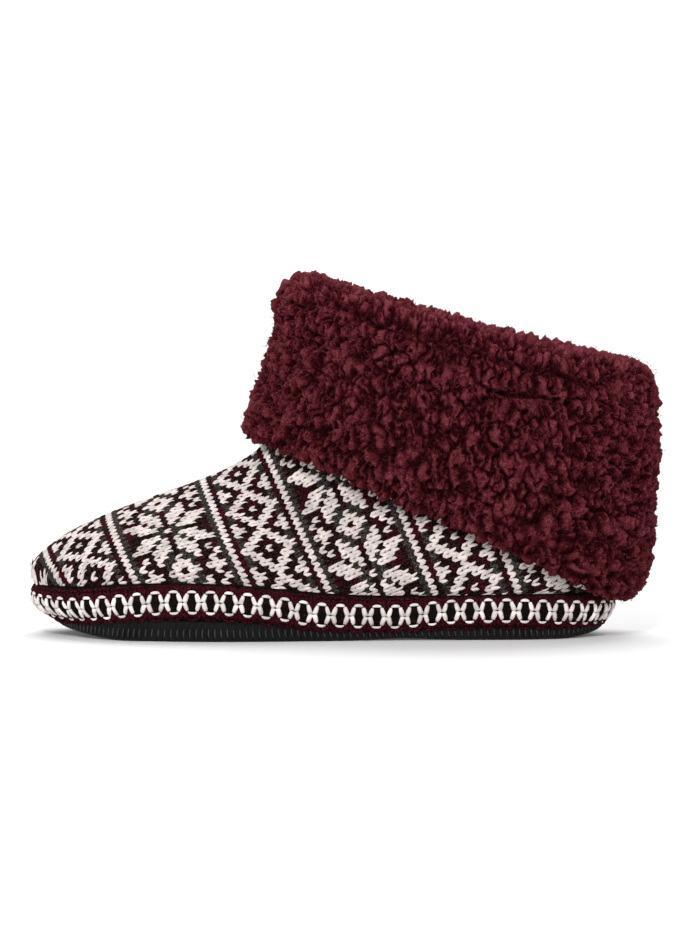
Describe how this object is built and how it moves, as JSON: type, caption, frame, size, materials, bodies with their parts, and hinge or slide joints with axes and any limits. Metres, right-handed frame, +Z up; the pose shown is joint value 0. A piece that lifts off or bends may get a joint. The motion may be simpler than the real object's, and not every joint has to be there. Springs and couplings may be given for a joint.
{
  "type": "bootie slipper",
  "caption": "Ankle-high knit bootie slipper with a turned-down fleece cuff, a tape-wrapped platform and a ribbed rubber sole",
  "frame": {"origin": "on the sole plane, half way along the platform, on its long axis", "axes": "+X from toe to heel, -Y the outer side of a left foot, +Z up"},
  "size_m": [0.2712, 0.0976, 0.1549],
  "materials": {
    "rubber": "matte",
    "foam": "matte",
    "tape": "knit tape",
    "footbed_fleece": "short fleece",
    "knit": "stranded knit",
    "cuff_fleece": "curly fleece"
  },
  "bodies": {
    "root": {"outsole": "rubber", "midsole": "foam", "tape_band": "tape", "insole": "footbed_fleece", "upper": "knit", "cuff": "cuff_fleece"}
  },
  "joints": []
}
